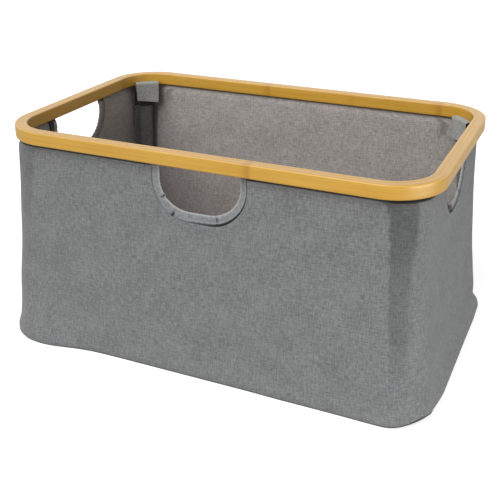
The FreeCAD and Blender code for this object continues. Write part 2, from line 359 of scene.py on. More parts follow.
def base_offset(s, z):
    """How far the bottom edge stands out beside the front left corner and in at the front right one."""
    from_left = strip_distance(s, STRIP_CORNERS["front_left"])
    from_right = strip_distance(s, STRIP_CORNERS["front_right"])
    puffed = BASE_PUFF * bump(from_left, 0.056, 0.045) * smooth(1 - z / 0.040)
    rounder = BASE_ROUNDING * bump(from_right, 0.008, 0.036) * smooth(1 - z / 0.035)
    return puffed - rounder


SWAY = 0.0021
SWAY_STRETCH = 0.0007


def wall_point(s, v, inward=0.0):
    """Points on the cloth's outer surface, or inside it by a depth."""
    s = np.asarray(s, float)
    v = np.asarray(v, float)
    z, under = wall_height(v)
    half_x, half_y, radius = wall_profile(z)
    out = under + wall_offset(s, z) * smooth(1 + under / TURN) - inward
    out += base_offset(s, z) * smooth(1.7 + under / TURN)
    x = np.zeros_like(z)
    y = np.zeros_like(z)
    index = np.clip(np.searchsorted(STRIP_STARTS, s, side="right") - 1, 0, len(SEGMENTS) - 1)
    for k, (kind, length, first, last, side_x, side_y) in enumerate(SEGMENTS):
        here = index == k
        share = (s[here] - STRIP_STARTS[k]) / length
        angle = np.radians(first + (last - first) * share)
        reach = radius[here] + out[here]
        cx = half_x[here] - radius[here]
        cy = half_y[here] - radius[here]
        if kind == "arc":
            x[here] = side_x * cx + reach * np.cos(angle)
            y[here] = side_y * cy + reach * np.sin(angle)
        elif kind in ("front", "back"):
            x[here] = cx * (2 * share - 1) * (1 if kind == "front" else -1)
            y[here] = side_y * (cy + reach)
        else:
            x[here] = side_x * (cx + reach)
            y[here] = cy * (2 * share - 1) * (1 if kind == "right" else -1)
    sway = smooth(z / 0.03) * (1 - smooth((z - 0.17) / 0.085))
    x -= sway * (SWAY - SWAY_STRETCH * x / RIM_X)
    return np.stack([x, y, z], -1)


def wall_normal(s, v):
    """Outward unit normals of the cloth."""
    step = 0.0004
    along = wall_point((s + step) % STRIP, v) - wall_point((s - step) % STRIP, v)
    up = wall_point(s, v + step) - wall_point(s, v - step)
    normal = np.cross(along, up)
    return normal / np.maximum(np.linalg.norm(normal, axis=1, keepdims=True), 1e-12)


SEAM_HEIGHT = 0.004
SEAM_RISE = 0.0095


def seam_height(s):
    """Distance up the rounded edge at which the wall is sewn to the bottom, higher at one front corner."""
    return SEAM_HEIGHT + SEAM_RISE * bump(strip_distance(s, STRIP_CORNERS["front_right"] + 0.010), 0.0, 0.036)


def hole_path(wall, grow, step):
    """A hand hole's U edge, grown by a distance, as (across, height) points from top to top."""
    hole = HOLES[wall]
    radius = hole["radius"] + grow
    flat = hole["half"] - hole["radius"]
    low = hole["bottom"] + hole["radius"]
    quarter = max(6, int(radius * math.pi / 2 / step))
    points = [(-flat - radius, z) for z in np.arange(WALL_TOP, low, -step)]
    for angle in np.linspace(math.pi, 1.5 * math.pi, quarter):
        points.append((-flat + radius * math.cos(angle), low + radius * math.sin(angle)))
    count = int(2 * flat / step)
    points += [(-flat + 2 * flat * k / count, low - radius) for k in range(1, count)]
    for angle in np.linspace(1.5 * math.pi, 2 * math.pi, quarter):
        points.append((flat + radius * math.cos(angle), low + radius * math.sin(angle)))
    points += [(flat + radius, z) for z in np.arange(WALL_TOP, low, -step)[::-1]]
    return np.array(points) + np.array([hole["shift"], 0.0])


def to_strip(wall, across, z):
    """Strip position and distance up the cloth of points on one straight wall."""
    half_x, half_y, radius = wall_profile(z)
    half = half_x if wall == "front" else half_y
    length = STRIP_LONG if wall == "front" else STRIP_SHORT
    return STRIP_MIDDLE[wall] + across / (half - radius) * length / 2, z - TURN + TURN_ARC


def wall_outline():
    """The unrolled cloth's closed outline: seam below, rim's groove above, notched by the hand holes."""
    top = WALL_TOP - TURN + TURN_ARC
    bottom_s = np.linspace(0, STRIP, int(STRIP / 0.003) + 1)
    outline = list(zip(bottom_s, seam_height(bottom_s)))
    side = np.linspace(seam_height(np.array([0.0]))[0], top, int(top / GRID) + 1)[1:]
    outline += [(STRIP, v) for v in side]
    position = STRIP
    for wall in ("right", "front", "left"):
        s, v = to_strip(wall, *hole_path(wall, 0.0, 0.002).T)
        outline += [(x, top) for x in np.arange(position - 0.003, s[-1] + 0.002, -0.003)]
        outline += list(zip(s[::-1], v[::-1]))
        position = s[0]
    outline += [(x, top) for x in np.arange(position - 0.003, 0.002, -0.003)]
    outline += [(0.0, v) for v in side[::-1]]
    return np.array(outline), top


def wall_flat_mesh():
    """Triangles of the unrolled cloth, finer round the hand holes."""
    outline, top = wall_outline()
    s, v = np.meshgrid(np.arange(GRID, STRIP - GRID / 2, GRID), np.arange(0.002, top - 0.001, GRID))
    s = s.ravel()
    v = v.ravel()
    keep = v > seam_height(s) + 0.0015
    z = wall_height(v)[0]
    inner = []
    for wall in HOLES:
        keep &= ~((np.abs(hole_distance(s, z, wall)[0]) < 0.0075) | (hole_distance(s, z, wall)[0] < 0))
        for grow in (0.0008, 0.0018, 0.0030, 0.0046, 0.0064):
            path = hole_path(wall, grow, 0.0022)
            path = path[path[:, 1] < WALL_TOP - 0.0008]
            inner += list(zip(*to_strip(wall, path[:, 0], path[:, 1])))
    near_top = np.arange(0.0015, STRIP, 0.003)
    for drop in (0.0012, 0.0026, 0.0042, 0.0052, 0.0062):
        rows = np.stack([near_top, np.full_like(near_top, top - drop)], -1)
        z_row = wall_height(rows[:, 1])[0]
        clear = np.ones(len(rows), bool)
        for wall in HOLES:
            clear &= hole_distance(rows[:, 0], z_row, wall)[0] > 0.0015
        inner += [tuple(row) for row in rows[clear]]
    keep &= v < top - 0.0075
    points = list(map(tuple, outline)) + inner + list(zip(s[keep], v[keep]))
    loop = list(range(len(outline)))
    made = delaunay_2d_cdt([Vector(p) for p in points], [], [loop], 1, 1e-7)
    return np.array([tuple(p) for p in made[0]]), np.array([list(f) for f in made[2]])


def cloth_shell(name, flat, triangles, outer, inner, materials, merge):
    """A closed shell with an outer and an inner surface, joined along its open edges."""
    count = len(flat)
    edges = np.concatenate([triangles[:, [0, 1]], triangles[:, [1, 2]], triangles[:, [2, 0]]])
    keys = np.sort(edges, 1)
    first, uses = np.unique(keys, axis=0, return_index=True, return_counts=True)[1:]
    border = edges[first[uses == 1]]
    on_seam = np.zeros(len(border), bool)
    for end in (0.0, STRIP):
        on_seam |= np.all(np.abs(flat[border][:, :, 0] - end) < 1e-6, axis=1)
    border = border[~on_seam]
    sides = np.stack([border[:, 1], border[:, 0], border[:, 0] + count, border[:, 1] + count], 1)
    uv = np.concatenate([flat, flat])
    loops = [triangles, triangles[:, ::-1] + count, sides]
    uvs = np.concatenate([uv[part].reshape(-1, 2) for part in loops])
    faces = [merge[part] for part in loops]
    listed = [list(f) for part in faces for f in part]
    kinds = np.repeat([0, 1, 2], [len(part) for part in loops])
    return add_mesh(name, np.concatenate([outer, inner]), listed, uvs, materials, kinds, sharp_degrees=50)


# ================================================================ materials
def wire(tree, kind, settings=None, links=None):
    """Adds a shader node, sets its values and connects its inputs."""
    made = tree.nodes.new(kind)
    for key, value in (settings or {}).items():
        if isinstance(key, int) or key in made.inputs:
            made.inputs[key].default_value = value
        else:
            setattr(made, key, value)
    for key, source in (links or {}).items():
        tree.links.new(source, made.inputs[key])
    return made


def math_node(tree, operation, a, b):
    """One arithmetic step on sockets or numbers."""
    made = wire(tree, "ShaderNodeMath", {"operation": operation})
    for index, value in enumerate((a, b)):
        if isinstance(value, (int, float)):
            made.inputs[index].default_value = value
        else:
            tree.links.new(value, made.inputs[index])
    return made.outputs[0]


def stretched_noise(tree, coordinates, across, up, detail=2.0, offset=0.0):
    """Noise with a number of cells per metre across and up."""
    placing = {"Scale": (across, up, 1.0), "Location": (offset, offset, 0.0)}
    mapping = wire(tree, "ShaderNodeMapping", placing, {"Vector": coordinates})
    settings = {"Scale": 1.0, "Detail": detail, "Roughness": 0.6}
    return wire(tree, "ShaderNodeTexNoise", settings, {"Vector": mapping.outputs[0]}).outputs["Fac"]


def stretched_wave(tree, coordinates, axis, period):
    """Fine parallel threads with a real spacing."""
    bands_per_scale = 3.1831
    scale = 1 / period / bands_per_scale
    settings = {"bands_direction": axis, "Scale": scale, "Distortion": 0.6, "Detail": 1.0}
    return wire(tree, "ShaderNodeTexWave", settings, {"Vector": coordinates}).outputs["Fac"]


def mix_colours(tree, share, first, second, blend="MIX"):
    """Mixes two colours, each a socket or a tuple."""
    made = wire(tree, "ShaderNodeMix", {"data_type": "RGBA", "blend_type": blend})
    for index, value in ((0, share), (6, first), (7, second)):
        if isinstance(value, (int, float)):
            made.inputs[index].default_value = value
        elif isinstance(value, tuple):
            made.inputs[index].default_value = (*value, 1.0)
        else:
            tree.links.new(value, made.inputs[index])
    return made.outputs[2]


def weighted_sum(tree, *terms):
    """Adds sockets, each multiplied by its weight."""
    total = None
    for socket, weight in terms:
        part = math_node(tree, "MULTIPLY", socket, weight)
        total = part if total is None else math_node(tree, "ADD", total, part)
    return total


def two_tone(tree, tone, low, high, dark, light):
    """Goes from the dark to the light colour as the tone rises from low to high."""
    ramp = wire(tree, "ShaderNodeValToRGB", {}, {"Fac": tone})
    for element, place, colour in zip(ramp.color_ramp.elements, (low, high), (dark, light)):
        element.position = place
        element.color = (*colour, 1.0)
    return ramp.outputs[0]


def new_material(name, roughness, **settings):
    """A material with its shader's constants set, and its node tree."""
    material = bpy.data.materials.new(name)
    material.use_nodes = True
    tree = material.node_tree
    shader = tree.nodes["Principled BSDF"]
    shader.inputs["Roughness"].default_value = roughness
    for key, value in settings.items():
        shader.inputs[key.replace("_", " ")].default_value = value
    return material, tree, shader


def add_bump(tree, shader, height, strength, distance):
    """Feeds a height into the shader's normal."""
    made = wire(tree, "ShaderNodeBump", {"Strength": strength, "Distance": distance}, {"Height": height})
    tree.links.new(made.outputs[0], shader.inputs["Normal"])


def uv_socket(tree):
    """The UVs, in metres."""
    return wire(tree, "ShaderNodeUVMap", {"uv_map": "UVMap"}).outputs[0]


def object_socket(tree):
    """The piece's own coordinates, in metres."""
    return wire(tree, "ShaderNodeTexCoord").outputs["Object"]


def attribute_socket(tree, name):
    """One of the numbers stored on the points."""
    return wire(tree, "ShaderNodeAttribute", {"attribute_name": name}).outputs["Fac"]


def cloth_material(name, light, dark, slub=1.0, thread=0.0008):
    """Linen-look weave: slubby threads both ways, soft mottling and a fine bump."""
    material, tree, shader = new_material(
        name, 0.92, Sheen_Weight=0.18, Sheen_Roughness=0.6, Specular_IOR_Level=0.18
    )
    uv = uv_socket(tree)
    weft = stretched_noise(tree, uv, 125 * slub, 720 * slub, 2.0)
    warp = stretched_noise(tree, uv, 720 * slub, 125 * slub, 2.0, 7.3)
    long_weft = stretched_noise(tree, uv, 34 * slub, 420 * slub, 2.0, 2.9)
    long_warp = stretched_noise(tree, uv, 420 * slub, 34 * slub, 2.0, 5.1)
    mottle = stretched_noise(tree, uv, 30, 26, 3.0, 3.1)
    weave = math_node(tree, "ADD", weft, warp)
    streaks = math_node(tree, "ADD", long_weft, long_warp)
    tone = weighted_sum(tree, (weave, 0.32), (streaks, 0.12), (mottle, 0.12))
    colour = two_tone(tree, tone, 0.434, 0.566, dark, light)
    # Painted highlight and painted shade: two attributes on the points mix in a lighter and a much darker
    # colour.
    painted_highlight_colour = tuple(min(1.0, 1.55 * c) for c in light)
    colour = mix_colours(tree, attribute_socket(tree, "painted_highlight_and_finishes"), colour, painted_highlight_colour)
    colour = mix_colours(tree, attribute_socket(tree, "shade"), colour, tuple(0.10 * c for c in dark))
    tree.links.new(colour, shader.inputs["Base Color"])
    threads = math_node(
        tree, "MULTIPLY", stretched_wave(tree, uv, "X", thread), stretched_wave(tree, uv, "Y", thread)
    )
    height = math_node(tree, "ADD", math_node(tree, "MULTIPLY", threads, 0.4), weave)
    add_bump(tree, shader, height, 0.55, 0.0005)
    return material


def bamboo_material(name, light, middle, dark):
    """Lacquered bamboo: long fibres, thin laminations and the darker bands at the cane's nodes."""
    material, tree, shader = new_material(
        name, 0.40, Coat_Weight=0.45, Coat_Roughness=0.22, Specular_IOR_Level=0.5
    )
    uv = uv_socket(tree)
    fibre = stretched_noise(tree, uv, 9, 1300, 3.0)
    streak = stretched_noise(tree, uv, 5, 300, 2.0, 4.2)
    cloud = stretched_noise(tree, uv, 14, 60, 2.0, 9.1)
    tone = weighted_sum(tree, (fibre, 0.35), (streak, 0.40), (cloud, 0.25))
    tone = math_node(tree, "ADD", tone, attribute_socket(tree, "layer"))
    colour = two_tone(tree, tone, 0.34, 0.66, middle, light)
    broken = math_node(tree, "ADD", streak, 0.35)
    ragged = math_node(tree, "MULTIPLY", attribute_socket(tree, "cane_node"), broken)
    tree.links.new(mix_colours(tree, ragged, colour, dark), shader.inputs["Base Color"])
    add_bump(tree, shader, fibre, 0.20, 0.0004)
    return material


def plain_material(name, colour, roughness, grain, metallic=0.0):
    """A moulded or drawn surface with a fine uneven grain."""
    material, tree, shader = new_material(name, roughness, Metallic=metallic)
    settings = {"Scale": grain, "Detail": 3.0}
    noise = wire(tree, "ShaderNodeTexNoise", settings, {"Vector": object_socket(tree)}).outputs["Fac"]
    darker = tuple(0.75 * c for c in colour)
    lighter = tuple(min(1.0, 1.2 * c) for c in colour)
    shade = mix_colours(tree, noise, darker, lighter)
    tree.links.new(shade, shader.inputs["Base Color"])
    add_bump(tree, shader, noise, 0.25, 0.0003)
    return material


def slat_material(name):
    """Plain bamboo on the stays, with fibres up their length."""
    material, tree, shader = new_material(name, 0.55)
    coordinates = object_socket(tree)
    fibre = stretched_noise(tree, coordinates, 900, 900, 2.0)
    shade = mix_colours(tree, fibre, (0.42, 0.25, 0.10), (0.66, 0.46, 0.22))
    tree.links.new(shade, shader.inputs["Base Color"])
    add_bump(tree, shader, fibre, 0.3, 0.0003)
    return material


OUTER_CLOTH = cloth_material("outer_cloth", (0.224, 0.227, 0.229), (0.130, 0.133, 0.135))
# Painted bounce light: the inner face is the same cloth as the outer face, made lighter and warmer to stand in
# for the light inside the basket.
INSIDE_LIT_CLOTH = cloth_material("inside_cloth_painted_bounce_light", (0.450, 0.415, 0.395), (0.280, 0.254, 0.240))
# Painted highlight: the cloth's cut edges are a lighter copy of the cloth, so they show as light lines.
EDGE_HIGHLIGHT_CLOTH = cloth_material("cloth_edge_painted_highlight", (0.40, 0.41, 0.42), (0.27, 0.28, 0.29))
FACING_CLOTH = cloth_material("facing_cloth", (0.285, 0.290, 0.295), (0.165, 0.168, 0.172), slub=1.3)
TAB_CLOTH = cloth_material("tab_cloth", (0.40, 0.40, 0.375), (0.25, 0.25, 0.235), slub=1.6)
SLEEVE_CLOTH = cloth_material("sleeve_cloth", (0.150, 0.150, 0.143), (0.082, 0.082, 0.080), slub=1.2)
# Painted bounce light: the cloth over the board gets the same lighter, warmer colours as the inner face.
BOARD_LIT_CLOTH = cloth_material("lining_cloth", (0.450, 0.415, 0.395), (0.280, 0.254, 0.240))
THREAD = plain_material("thread", (0.34, 0.35, 0.36), 0.8, 900.0)
DARK_THREAD = plain_material("dark_thread", (0.045, 0.045, 0.05), 0.8, 900.0)
BAMBOO = bamboo_material("bamboo", (0.640, 0.365, 0.050), (0.520, 0.262, 0.022), (0.330, 0.130, 0.008))
SLAT = slat_material("bamboo_slat")
PLASTIC = plain_material("cap_plastic", (0.03, 0.03, 0.03), 0.5, 700.0)
STEEL = plain_material("steel_wire", (0.6, 0.6, 0.6), 0.35, 1200.0, 1.0)
BOARD = plain_material("hardboard", (0.23, 0.14, 0.07), 0.8, 300.0)
WEBBING = plain_material("hem_webbing", (0.03, 0.03, 0.03), 0.9, 1500.0)
PILE = plain_material("hook_and_loop", (0.022, 0.022, 0.022), 0.95, 1800.0)


# ================================================================ the rim
LAMINATION = 0.0024
EDGE_ROUND = 0.0016
SEAM_DEPTH = 0.00022
CANE_NODES = {"front": (0.067,), "back": (-0.048, 0.084, 0.207), "left": (0.106,)}
SPLICE_X = 0.207


def ply_profile(outer, inner, low, high, round_outer, round_inner):
    """A ply's closed section as (inset, height), with fine grooves between the laminations of its top."""
    section = []

    def corner(inset, z, radius, first, last):
        for degrees in np.linspace(first, last, 5 if radius > 0.0005 else 3):
            angle = math.radians(degrees)
            section.append((inset + radius * math.cos(angle), z + radius * math.sin(angle)))

    corner(outer + round_outer, low + round_outer, round_outer, 270, 180)
    section += [(outer, z) for z in np.linspace(low + round_outer, high - round_outer, 6)[1:-1]]
    corner(outer + round_outer, high - round_outer, round_outer, 180, 90)
    seam = outer + LAMINATION
    while seam < inner - round_inner - 0.0006:
        if seam > outer + round_outer + 0.0006:
            section += [(seam - 0.00022, high), (seam, high - SEAM_DEPTH), (seam + 0.00022, high)]
        seam += LAMINATION
    corner(inner - round_inner, high - round_inner, round_inner, 90, 0)
    section += [(inner, z) for z in np.linspace(high - round_inner, low + round_inner, 6)[1:-1]]
    corner(inner - round_inner, low + round_inner, round_inner, 0, -90)
    return np.array(section)


def rim_piece(name, node, section):
    """A bent ply swept round the rim's outline."""
    points, normals = rounded_rectangle(RIM_X, RIM_Y, RIM_CORNER, 0.0025)[:2]
    first = int(np.argmin(np.hypot(points[:, 0] - SPLICE_X, points[:, 1] - RIM_Y)))
    points = np.roll(points, -first, axis=0)
    normals = np.roll(normals, -first, axis=0)
    gaps = np.linalg.norm(np.roll(points, -1, 0) - points, axis=1)
    lengths = np.concatenate([[0.0], np.cumsum(gaps)])
    rows = np.zeros((len(points), len(section), 3))
    rows[:, :, :2] = points[:, None, :] - normals[:, None, :] * section[None, :, :1]
    rows[:, :, 2] = section[None, :, 1]
    around = np.concatenate([[0.0], np.cumsum(np.linalg.norm(np.roll(section, -1, 0) - section, axis=1))])
    ring = grid_mesh(
        name, rows, lengths, around, [BAMBOO], close_along=True, close_across=True, sharp_degrees=40
    )
    sides = {
        "front": (-points[:, 1] / RIM_Y, points[:, 0]),
        "back": (points[:, 1] / RIM_Y, points[:, 0]),
        "left": (-points[:, 0] / RIM_X, points[:, 1]),
        "right": (points[:, 0] / RIM_X, points[:, 1]),
    }
    bands = np.zeros(len(points))
    for wall, places in CANE_NODES.items():
        facing, across = sides[wall]
        for k, place in enumerate(places):
            strength = (0.62, 0.34, 0.50)[k]
            wide = bump(across, place, 0.0050)
            fine = bump(across, place + 0.0040, 0.0013)
            bands += (facing > 0.98) * strength * (0.55 * wide + 0.75 * fine)
    layer = np.floor(section[:, 0] / LAMINATION + 0.5)
    tones = 0.05 * np.sin(layer * 2.4 + 1.0)
    add_attribute(ring, "cane_node", np.repeat(np.clip(bands, 0, 1), len(section)))
    add_attribute(ring, "layer", np.tile(tones, len(points)))
    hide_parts(node)
    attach(ring, "rim")
    return ring


def make_rim():
    """Outer, core and inner plies, their joints showing as fine lines on the top face."""
    hair = 0.00025
    plies = {
        "rim_outer": (0, CORE_INSET, RIM_UNDER, RIM_TOP, EDGE_ROUND, hair),
        "rim_core": (CORE_INSET, INNER_INSET, GROOVE_TOP, RIM_TOP, hair, hair),
        "rim_inner": (INNER_INSET, RIM_THICK, RIM_UNDER, RIM_TOP, hair, EDGE_ROUND),
    }
    for name, sizes in plies.items():
        rim_piece(name, name + "_ply", ply_profile(*sizes))


def folds_with_rim(piece):
    """Attaches the cloth to the base and gives it its own copy of its mesh."""
    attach(piece, "base")
    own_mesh(piece)


def outer_shade(s, z):
    """Darker over a sleeve, along one edge of the right hand hole and just under the rim."""
    shade = np.zeros_like(s)
    rise = np.clip((z - 0.05) / 0.215, 0.0, 1.0)
    for name, centre in STRIP_CORNERS.items():
        mirrored = -1 if name in ("front_left", "back_right") else 1
        distance = mirrored * strip_distance(s, centre)
        crisp = smooth((distance + 0.0255 + 0.0220 * rise**1.6) / 0.0022)
        soft = 1 - smooth((distance + 0.010 - 0.007 * smooth((z - 0.190) / 0.040)) / 0.010)
        fade = smooth((z - 0.022) / 0.10) * (0.62 + 0.38 * smooth((z - 0.15) / 0.09))
        strength = 0.50 if name == "front_right" else 0.22
        shade = np.maximum(shade, strength * crisp * soft * fade)
    distance, across = hole_distance(s, z, "right")
    edge_line = 0.95 * smooth(1.3 - distance / 0.0016) * smooth((-across - 0.020) / 0.012) * (z > 0.16)
    hidden = smooth((z - (RIM_UNDER - 0.0060)) / 0.0010)
    return np.maximum(np.maximum(shade, edge_line), 0.97 * hidden)


def make_walls():
    """One continuous sheet round all four sides, with a hand hole in the front and in both ends."""
    flat, triangles = wall_flat_mesh()
    s = flat[:, 0]
    v = flat[:, 1]
    wrapped = s % STRIP
    wrapped[np.abs(s - STRIP) < 1e-6] = 0.0
    outer = wall_point(wrapped, v)
    normal = wall_normal(wrapped, v)
    first, second, third = outer[triangles].transpose(1, 0, 2)
    area = np.cross(second - first, third - first)
    backwards = np.einsum("ij,ij->i", area, normal[triangles[:, 0]]) < 0
    triangles[backwards] = triangles[backwards][:, ::-1]
    inner = outer - normal * CLOTH
    merge = np.arange(2 * len(flat))
    start = {round(v[k], 7): k for k in np.nonzero(np.abs(s) < 1e-6)[0]}
    for k in np.nonzero(np.abs(s - STRIP) < 1e-6)[0]:
        merge[k] = start[round(v[k], 7)]
        merge[k + len(flat)] = merge[k] + len(flat)
    materials = [OUTER_CLOTH, INSIDE_LIT_CLOTH, EDGE_HIGHLIGHT_CLOTH]
    walls = cloth_shell("bag_walls", flat, triangles, outer, inner, materials, merge)
    z = wall_height(v)[0]
    # Painted shade on the inner face, just under the rim and along the tension folds.
    inside = 0.9 * smooth((z - (RIM_UNDER - 0.0030)) / 0.0012) + 0.75 * creases(s, z)
    add_attribute(walls, "shade", np.concatenate([outer_shade(s, z), np.clip(inside, 0, 1)]))
    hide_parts("front_wall", "back_wall", "left_end_wall", "right_end_wall")
    folds_with_rim(walls)
    return walls


def make_bottom():
    """The bottom cloth, from the seam in to the middle, with the sewn edge turned up."""
    s = np.linspace(0, STRIP, 560, endpoint=False)
    rows = []
    for share in np.linspace(0, 1, 8):
        v = seam_height(s) * (1 - share) - TURN_UNDER * share
        rows.append(wall_point(s, v, 0.0002))
    edge = rows[-1]
    for share in np.linspace(0, 1, 16)[1:]:
        ring = edge.copy()
        ring[:, 0] *= 1 - share * 0.985
        ring[:, 1] *= 1 - share * 0.985
        wave = 0.5 + 0.5 * np.sin(ring[:, 0] * 31) * np.sin(ring[:, 1] * 27)
        ring[:, 2] = 0.0002 + 0.0009 * smooth(share * 3) * wave
        rows.append(ring)
    rows = np.array(rows)
    inner = rows.copy()
    inner[:, :, 2] += CLOTH
    inner[:8, :, :2] *= 0.996
    both = np.concatenate([rows, inner[::-1]]).transpose(1, 0, 2)[::-1]
    across = np.linspace(0, 0.5, both.shape[1] + 1)
    bottom = grid_mesh("bottom_panel", both, np.linspace(0, STRIP, len(s) + 1), across, [OUTER_CLOTH],
                       close_along=True, close_across=True, sharp_degrees=50)
    add_attribute(bottom, "shade", np.zeros(both.shape[0] * both.shape[1]))
    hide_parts("bottom_cloth")
    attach(bottom, "base")
    return bottom


def tube(name, points, radius, material, closed=False, sides=8):
    """A round strand along a smooth path."""
    points = np.asarray(points, float)
    ahead = np.roll(points, -1, 0) - np.roll(points, 1, 0)
    if not closed:
        ahead[0] = points[1] - points[0]
        ahead[-1] = points[-1] - points[-2]
    ahead /= np.linalg.norm(ahead, axis=1, keepdims=True)
    side = np.cross(ahead, np.array([0.0, 0.0, 1.0]))
    short = np.linalg.norm(side, axis=1) < 0.3
    side[short] = np.cross(ahead[short], np.array([0.0, 1.0, 0.0]))
    side /= np.linalg.norm(side, axis=1, keepdims=True)
    up = np.cross(side, ahead)
    angles = np.linspace(0, 2 * math.pi, sides, endpoint=False)
    rows = points[:, None, :] + radius * (
        side[:, None, :] * np.cos(angles)[None, :, None] + up[:, None, :] * np.sin(angles)[None, :, None]
    )
    steps = np.concatenate([[0.0], np.cumsum(np.linalg.norm(np.diff(points, axis=0), axis=1))])
    if closed:
        steps = np.append(steps, steps[-1] + np.linalg.norm(points[0] - points[-1]))
    around = np.linspace(0, 2 * math.pi * radius, sides + 1)
    return grid_mesh(
        name, rows, steps, around, [material], close_along=closed, close_across=True, caps=not closed
    )


def make_seam():
    """The dark sewn seam between the walls and the bottom."""
    s = np.linspace(0, STRIP, 700, endpoint=False)
    path = wall_point(s, seam_height(s), 0.0004)
    path[:, 2] = np.maximum(path[:, 2], 0.0010)
    seam = tube("bottom_seam", path, 0.0010, DARK_THREAD, closed=True)
    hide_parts("base_seam")
    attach(seam, "base")


# The side of each hole on which the cloth stands away from its facing, how wide a band of each facing shows,
# and the puckers in it.
NEAR_SIDE = {"front": 1, "left": 1, "right": -1}
FACING_SHOWS = {"front": 0.0105, "left": 0.0085, "right": 0.0085}
PUCKERS = {
    "front": ((0.225, -0.0082, 0.0030), (0.345, -0.0018, 0.0032), (0.62, -0.0060, 0.0012)),
    "left": ((0.70, -0.0050, 0.0012),),
    "right": ((0.30, -0.0050, 0.0014), (0.66, -0.0060, 0.0016)),
}
FACING_ROUND = 0.0008
FACING_THICK = 0.0016


def facing_depth(wall, s, v, w):
    """How far behind the outer cloth a facing lies, deeper where the cloth stands away from it."""
    z = wall_height(v)[0]
    across = hole_distance(s, z, wall)[1]
    lifted = 0.0022 if wall == "front" else 0.0006
    behind = 0.0016 + lifted * smooth((across * NEAR_SIDE[wall] - 0.005) / 0.045)
    proud = 0.0008 * bump(w, -0.5 * FACING_SHOWS[wall], 0.35 * FACING_SHOWS[wall])
    return behind - proud


def make_facing(wall, node):
    """A folded band of cloth sewn behind a hand hole's edge."""
    shows = FACING_SHOWS[wall]
    path = hole_path(wall, 0.0, 0.0016)
    count = len(path)
    share = np.linspace(0, 1, count)
    section = [(w, 0.0) for w in np.linspace(FACING_BEHIND, -shows + FACING_ROUND, 21)]
    for degrees in (60, 20, -20, -60):
        angle = math.radians(degrees)
        turned = -shows + FACING_ROUND - FACING_ROUND * math.cos(angle)
        section.append((turned, FACING_ROUND - FACING_ROUND * math.sin(angle)))
    front_side = len(section)
    section += [(w, FACING_THICK) for w in np.linspace(-shows + FACING_ROUND, FACING_BEHIND, 8)]
    hole = HOLES[wall]
    low = hole["bottom"] + hole["radius"]
    flat = hole["half"] - hole["radius"]
    middle = np.clip(path[:, 0] - hole["shift"], -flat, flat) + hole["shift"]
    centre = np.stack([middle, np.maximum(path[:, 1], low)], -1)
    outwards = path - centre
    outwards /= np.linalg.norm(outwards, axis=1, keepdims=True)
    near = smooth(((path[:, 0] - hole["shift"]) * NEAR_SIDE[wall] / hole["half"] + 0.75) / 1.3)
    rows = np.zeros((count, len(section), 3))
    shade = np.zeros((count, len(section)))
    painted_highlight_and_finishes = np.zeros((count, len(section)))
    for k, (w, depth) in enumerate(section):
        lower = np.clip(-outwards[:, 1], 0, 1) ** 2 * (0.24 if w < 0 and wall == "front" else 0.0)
        spot = path + outwards * (w * (1 + lower))[:, None]
        z = np.minimum(spot[:, 1], WALL_TOP)
        s, v = to_strip(wall, spot[:, 0], z)
        inward = facing_depth(wall, s, v, w) + depth
        visible = smooth((-w + 0.001) / 0.003)
        for place, across, size in PUCKERS[wall]:
            here = bump(w, across, 0.0035)
            pucker = bump(share, place, 0.007) - 0.5 * bump(share, place + 0.020, 0.012)
            inward = inward + size * here * pucker
            shade[:, k] += 0.85 * bump(share, place, 0.0070) * bump(w, across, 0.0028)
        inward = inward + 0.00025 * np.sin(share * 190 + w * 900) * visible
        rows[:, k] = wall_point(s, v, inward)
        shade[:, k] += smooth((w + 0.0008 + 0.0019 * near) / 0.0009) * (0.45 + 0.53 * near)
        if wall == "right":
            shade[:, k] += 0.9 * smooth((near - 0.75) / 0.15)
        shade[:, k] += 0.95 * smooth((spot[:, 1] - (RIM_UNDER - 0.0050)) / 0.0012)
        # Painted highlight along the facing's folded inner edge, and a painted highlight line towards its near
        # side.
        if k < front_side:
            painted_highlight_and_finishes[:, k] = 0.62 * bump(w, -shows + 0.0004, 0.0013) + 0.34 * bump(w, -0.0032, 0.0009) * near
    around = np.concatenate([[0.0], np.cumsum(np.linalg.norm(np.diff(np.array(section), axis=0), axis=1))])
    around = np.append(around, around[-1] + FACING_THICK)
    length = np.concatenate([[0.0], np.cumsum(np.linalg.norm(np.diff(path, axis=0), axis=1))])
    materials = [FACING_CLOTH, INSIDE_LIT_CLOTH]
    band = grid_mesh(
        wall + "_facing", rows, length, around, materials, close_across=True, caps=True, sharp_degrees=60
    )
    for polygon in band.data.polygons:
        if min(corner % len(section) for corner in polygon.vertices) >= front_side - 1:
            polygon.material_index = 1
    add_attribute(band, "shade", np.clip(shade, 0, 1).ravel())
    add_attribute(band, "painted_highlight_and_finishes", painted_highlight_and_finishes.ravel())
    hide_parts(node)
    folds_with_rim(band)
    return band, length[-1]


def stitches(name, starts, ends, normals, radius, material):
    """Short raised stitches: one small six-sided bead for each."""
    points = []
    faces = []
    uvs = []
    ring = np.array([0.0, 0.55, 1.0, 0.55, 0.0])
    places = np.array([0.02, 0.18, 0.5, 0.82, 0.98])
    sides = 6
    for start, end, normal in zip(starts, ends, normals):
        along = end - start
        across = np.cross(normal, along)
        across /= max(np.linalg.norm(across), 1e-9)
        first = len(points)
        for place, size in zip(places, ring):
            for k in range(sides):
                angle = 2 * math.pi * k / sides
                turned = across * math.cos(angle) + 0.6 * normal * math.sin(angle)
                points.append(start + along * place + radius * (size + 0.05) * turned)
        for r in range(len(places) - 1):
            for k in range(sides):
                a = first + r * sides + k
                b = first + r * sides + (k + 1) % sides
                faces.append([a, b, b + sides, a + sides])
                uvs += [[0.0, 0.0], [0.001, 0.0], [0.001, 0.001], [0.0, 0.001]]
    return add_mesh(name, points, faces, uvs, [material])


